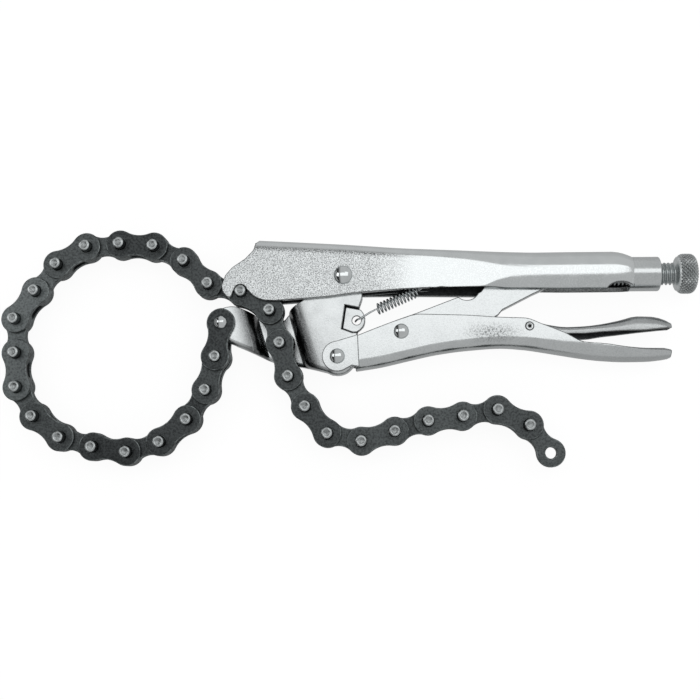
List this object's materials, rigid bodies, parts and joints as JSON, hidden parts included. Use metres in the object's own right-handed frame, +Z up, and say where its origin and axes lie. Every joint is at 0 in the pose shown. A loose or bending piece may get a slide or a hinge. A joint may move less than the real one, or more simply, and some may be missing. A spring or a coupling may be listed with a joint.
{
  "type": "locking chain clamp",
  "caption": "Locking toggle plier with a plate chain that loops round a pipe and hooks on its upper jaw; a knob sets the grip and a lever frees it.",
  "frame": {"origin": "centre of the clamp's outline, on the surface that it lies on", "axes": "+X from the chain loop to the knob, +Y from the lower handle to the upper handle, +Z up from the surface, along every pivot"},
  "size_m": [0.3224, 0.1104, 0.0212],
  "materials": {
    "plated_steel": "satin nickel plate",
    "chain": "black oxide",
    "rivet": "satin",
    "rivet_dark": "satin",
    "spring": "drawn wire",
    "screw": "zinc plate"
  },
  "bodies": {
    "upper_handle": {"upper_handle": "plated_steel", "screw_collar": "plated_steel", "main_rivet": "rivet", "jaw_spring": "spring"},
    "lower_jaw": {"lower_jaw": "plated_steel", "anchor_rivet": "rivet_dark"},
    "lower_handle": {"lower_handle": "plated_steel", "jaw_rivet": "rivet", "toggle_rivet": "rivet", "lever_pin": "rivet"},
    "toggle_link": {"toggle_link": "plated_steel"},
    "release_lever": {"release_lever": "plated_steel"},
    "screw_nose": {"screw_nose": "screw"},
    "adjusting_screw": {"adjusting_screw": "screw"},
    "anchor_link": {"anchor_link": "chain"},
    "chain_link_02": {"chain_link_02": "chain"},
    "chain_link_03": {"chain_link_03": "chain"},
    "chain_link_04": {"chain_link_04": "chain"},
    "chain_link_05": {"chain_link_05": "chain"},
    "chain_link_06": {"chain_link_06": "chain"},
    "chain_link_07": {"chain_link_07": "chain"},
    "chain_link_08": {"chain_link_08": "chain"},
    "chain_link_09": {"chain_link_09": "chain"},
    "chain_link_10": {"chain_link_10": "chain"},
    "chain_link_11": {"chain_link_11": "chain"},
    "chain_link_12": {"chain_link_12": "chain"},
    "chain_link_13": {"chain_link_13": "chain"},
    "chain_link_14": {"chain_link_14": "chain"},
    "chain_link_15": {"chain_link_15": "chain"},
    "chain_link_16": {"chain_link_16": "chain"},
    "chain_link_17": {"chain_link_17": "chain"},
    "chain_link_18": {"chain_link_18": "chain"},
    "chain_link_19": {"chain_link_19": "chain"},
    "chain_link_20": {"chain_link_20": "chain"},
    "chain_link_21": {"chain_link_21": "chain"},
    "chain_link_22": {"chain_link_22": "chain"},
    "chain_link_23": {"chain_link_23": "chain"},
    "chain_link_24": {"chain_link_24": "chain"},
    "chain_link_25": {"chain_link_25": "chain"},
    "chain_link_26": {"chain_link_26": "chain"},
    "chain_link_27": {"chain_link_27": "chain"},
    "chain_link_28": {"chain_link_28": "chain"},
    "chain_link_29": {"chain_link_29": "chain"},
    "chain_link_30": {"chain_link_30": "chain"},
    "chain_link_31": {"chain_link_31": "chain"}
  },
  "joints": [
    {"name": "handle_hinge", "type": "hinge", "parent": "lower_jaw", "child": "lower_handle", "pos_m": [-0.00476, -0.00469, 0.012], "axis": [0, 0, -1], "range_deg": [0, 38.26]},
    {"name": "jaw_hinge", "type": "hinge", "parent": "upper_handle", "child": "lower_jaw", "pos_m": [-0.00206, 0.03271, 0.012], "axis": [0, 0, 1], "range_deg": [-0.01, 9.01], "deforming": ["jaw_spring"]},
    {"name": "toggle_hinge", "type": "hinge", "parent": "lower_handle", "child": "toggle_link", "pos_m": [0.02444, 0.00661, 0.012], "axis": [0, 0, 1], "range_deg": [-0.01, 41.23]},
    {"name": "lever_hinge", "type": "hinge", "parent": "lower_handle", "child": "release_lever", "pos_m": [0.08264, 0.00861, 0.012], "axis": [0, 0, -1], "range_deg": [-4, 6]},
    {"name": "screw_travel", "type": "slide", "parent": "upper_handle", "child": "screw_nose", "axis": [1, 0, 0], "range_m": [0, 0.012]},
    {"name": "screw_turn", "type": "hinge", "parent": "screw_nose", "child": "adjusting_screw", "pos_m": [0.12794, 0.03321, 0.012], "axis": [1, 0, 0], "range_deg": [-1, 2730]},
    {"name": "chain_joint_01", "type": "hinge", "parent": "lower_jaw", "child": "anchor_link", "pos_m": [-0.05827, 0.01124, 0.012], "axis": [0, 0, 1], "range_deg": [-6.83, 6.83]},
    {"name": "chain_joint_02", "type": "hinge", "parent": "anchor_link", "child": "chain_link_02", "pos_m": [-0.06089, -0.00442, 0.012], "axis": [0, 0, 1], "range_deg": [-2.84, 2.84]},
    {"name": "chain_joint_03", "type": "hinge", "parent": "chain_link_02", "child": "chain_link_03", "pos_m": [-0.06526, -0.01968, 0.012], "axis": [0, 0, 1], "range_deg": [-2.83, 2.83]},
    {"name": "chain_joint_04", "type": "hinge", "parent": "chain_link_03", "child": "chain_link_04", "pos_m": [-0.07379, -0.03307, 0.012], "axis": [0, 0, 1], "range_deg": [-7.38, 7.38]},
    {"name": "chain_joint_05", "type": "hinge", "parent": "chain_link_04", "child": "chain_link_05", "pos_m": [-0.08595, -0.04328, 0.012], "axis": [0, 0, 1], "range_deg": [-7.3, 7.3]},
    {"name": "chain_joint_06", "type": "hinge", "parent": "chain_link_05", "child": "chain_link_06", "pos_m": [-0.10118, -0.04778, 0.012], "axis": [0, 0, 1], "range_deg": [-5.08, 5.08]},
    {"name": "chain_joint_07", "type": "hinge", "parent": "chain_link_06", "child": "chain_link_07", "pos_m": [-0.11688, -0.04544, 0.012], "axis": [0, 0, 1], "range_deg": [-1.62, 1.62]},
    {"name": "chain_joint_08", "type": "hinge", "parent": "chain_link_07", "child": "chain_link_08", "pos_m": [-0.13214, -0.04106, 0.012], "axis": [0, 0, 1], "range_deg": [-4.58, 4.58]},
    {"name": "chain_joint_09", "type": "hinge", "parent": "chain_link_08", "child": "chain_link_09", "pos_m": [-0.14473, -0.0314, 0.012], "axis": [0, 0, 1], "range_deg": [-7.13, 7.13]},
    {"name": "chain_joint_10", "type": "hinge", "parent": "chain_link_09", "child": "chain_link_10", "pos_m": [-0.15302, -0.01786, 0.012], "axis": [0, 0, 1], "range_deg": [-7.29, 7.29]},
    {"name": "chain_joint_11", "type": "hinge", "parent": "chain_link_10", "child": "chain_link_11", "pos_m": [-0.15399, -0.00202, 0.012], "axis": [0, 0, 1], "range_deg": [-4.65, 4.65]},
    {"name": "chain_joint_12", "type": "hinge", "parent": "chain_link_11", "child": "chain_link_12", "pos_m": [-0.15469, 0.01384, 0.012], "axis": [0, 0, 1], "range_deg": [-1.61, 1.61]},
    {"name": "chain_joint_13", "type": "hinge", "parent": "chain_link_12", "child": "chain_link_13", "pos_m": [-0.14558, 0.02685, 0.012], "axis": [0, 0, 1], "range_deg": [-4.89, 4.89]},
    {"name": "chain_joint_14", "type": "hinge", "parent": "chain_link_13", "child": "chain_link_14", "pos_m": [-0.1357, 0.03927, 0.012], "axis": [0, 0, 1], "range_deg": [-7.43, 7.43]},
    {"name": "chain_joint_15", "type": "hinge", "parent": "chain_link_14", "child": "chain_link_15", "pos_m": [-0.12216, 0.04757, 0.012], "axis": [0, 0, 1], "range_deg": [-7.65, 7.65]},
    {"name": "chain_joint_16", "type": "hinge", "parent": "chain_link_15", "child": "chain_link_16", "pos_m": [-0.10633, 0.04867, 0.012], "axis": [0, 0, 1], "range_deg": [-5.25, 5.25]},
    {"name": "chain_joint_17", "type": "hinge", "parent": "chain_link_16", "child": "chain_link_17", "pos_m": [-0.09049, 0.04757, 0.012], "axis": [0, 0, 1], "range_deg": [-1.62, 1.62]},
    {"name": "chain_joint_18", "type": "hinge", "parent": "chain_link_17", "child": "chain_link_18", "pos_m": [-0.07628, 0.04048, 0.012], "axis": [0, 0, 1], "range_deg": [-4.89, 4.89]},
    {"name": "chain_joint_19", "type": "hinge", "parent": "chain_link_18", "child": "chain_link_19", "pos_m": [-0.06477, 0.02956, 0.012], "axis": [0, 0, 1], "range_deg": [-7.96, 7.96]},
    {"name": "chain_joint_20", "type": "hinge", "parent": "chain_link_19", "child": "chain_link_20", "pos_m": [-0.04936, 0.02571, 0.012], "axis": [0, 0, 1], "range_deg": [-1.42, 1.42]},
    {"name": "chain_joint_21", "type": "hinge", "parent": "chain_link_20", "child": "chain_link_21", "pos_m": [-0.03613, 0.01695, 0.012], "axis": [0, 0, 1], "range_deg": [-3, 3]},
    {"name": "chain_joint_22", "type": "hinge", "parent": "chain_link_21", "child": "chain_link_22", "pos_m": [-0.03135, 0.00181, 0.012], "axis": [0, 0, -1], "range_deg": [-4, 4]},
    {"name": "chain_joint_23", "type": "hinge", "parent": "chain_link_22", "child": "chain_link_23", "pos_m": [-0.02738, -0.01356, 0.012], "axis": [0, 0, 1], "range_deg": [-20, 8]},
    {"name": "chain_joint_24", "type": "hinge", "parent": "chain_link_23", "child": "chain_link_24", "pos_m": [-0.01956, -0.02738, 0.012], "axis": [0, 0, 1], "range_deg": [-30.3, 0.05]},
    {"name": "chain_joint_25", "type": "hinge", "parent": "chain_link_24", "child": "chain_link_25", "pos_m": [-0.00946, -0.03962, 0.012], "axis": [0, 0, 1], "range_deg": [-25, 12]},
    {"name": "chain_joint_26", "type": "hinge", "parent": "chain_link_25", "child": "chain_link_26", "pos_m": [0.00601, -0.04319, 0.012], "axis": [0, 0, -1], "range_deg": [-15, 25]},
    {"name": "chain_joint_27", "type": "hinge", "parent": "chain_link_26", "child": "chain_link_27", "pos_m": [0.02123, -0.03869, 0.012], "axis": [0, 0, 1], "range_deg": [-30, 18]},
    {"name": "chain_joint_28", "type": "hinge", "parent": "chain_link_27", "child": "chain_link_28", "pos_m": [0.03641, -0.03404, 0.012], "axis": [0, 0, -1], "range_deg": [-25, 30]},
    {"name": "chain_joint_29", "type": "hinge", "parent": "chain_link_28", "child": "chain_link_29", "pos_m": [0.05215, -0.03197, 0.012], "axis": [0, 0, 1], "range_deg": [-35, 30]},
    {"name": "chain_joint_30", "type": "hinge", "parent": "chain_link_29", "child": "chain_link_30", "pos_m": [0.06776, -0.02908, 0.012], "axis": [0, 0, -1], "range_deg": [-35, 40]},
    {"name": "chain_joint_31", "type": "hinge", "parent": "chain_link_30", "child": "chain_link_31", "pos_m": [0.08196, -0.03616, 0.012], "axis": [0, 0, 1], "range_deg": [-45, 45]}
  ],
  "couplings": [
    {"joint": "jaw_hinge", "follows": "handle_hinge", "ratio": 0.23525},
    {"joint": "toggle_hinge", "follows": "handle_hinge", "ratio": 1.0768},
    {"joint": "screw_turn", "follows": "screw_travel", "rad_per_m": 3463.1},
    {"joint": "chain_joint_01", "follows": "chain_joint_05", "ratio": -0.8143},
    {"joint": "chain_joint_02", "follows": "chain_joint_05", "ratio": -0.32602},
    {"joint": "chain_joint_03", "follows": "chain_joint_05", "ratio": 0.32579},
    {"joint": "chain_joint_04", "follows": "chain_joint_05", "ratio": 0.88119},
    {"joint": "chain_joint_06", "follows": "chain_joint_05", "ratio": 0.60079},
    {"joint": "chain_joint_07", "follows": "chain_joint_05", "ratio": 0.17717},
    {"joint": "chain_joint_08", "follows": "chain_joint_05", "ratio": -0.53958},
    {"joint": "chain_joint_09", "follows": "chain_joint_05", "ratio": -0.85054},
    {"joint": "chain_joint_10", "follows": "chain_joint_05", "ratio": -0.87089},
    {"joint": "chain_joint_11", "follows": "chain_joint_05", "ratio": -0.54779},
    {"joint": "chain_joint_12", "follows": "chain_joint_05", "ratio": -0.17665},
    {"joint": "chain_joint_13", "follows": "chain_joint_05", "ratio": 0.57708},
    {"joint": "chain_joint_14", "follows": "chain_joint_05", "ratio": 0.8875},
    {"joint": "chain_joint_15", "follows": "chain_joint_05", "ratio": 0.91392},
    {"joint": "chain_joint_16", "follows": "chain_joint_05", "ratio": 0.62131},
    {"joint": "chain_joint_17", "follows": "chain_joint_05", "ratio": -0.17673},
    {"joint": "chain_joint_18", "follows": "chain_joint_05", "ratio": -0.57715},
    {"joint": "chain_joint_19", "follows": "chain_joint_05", "ratio": -0.95271},
    {"joint": "chain_joint_20", "follows": "chain_joint_05", "ratio": -0.15238},
    {"joint": "chain_joint_24", "follows": "handle_hinge", "ratio": -0.78418}
  ]
}
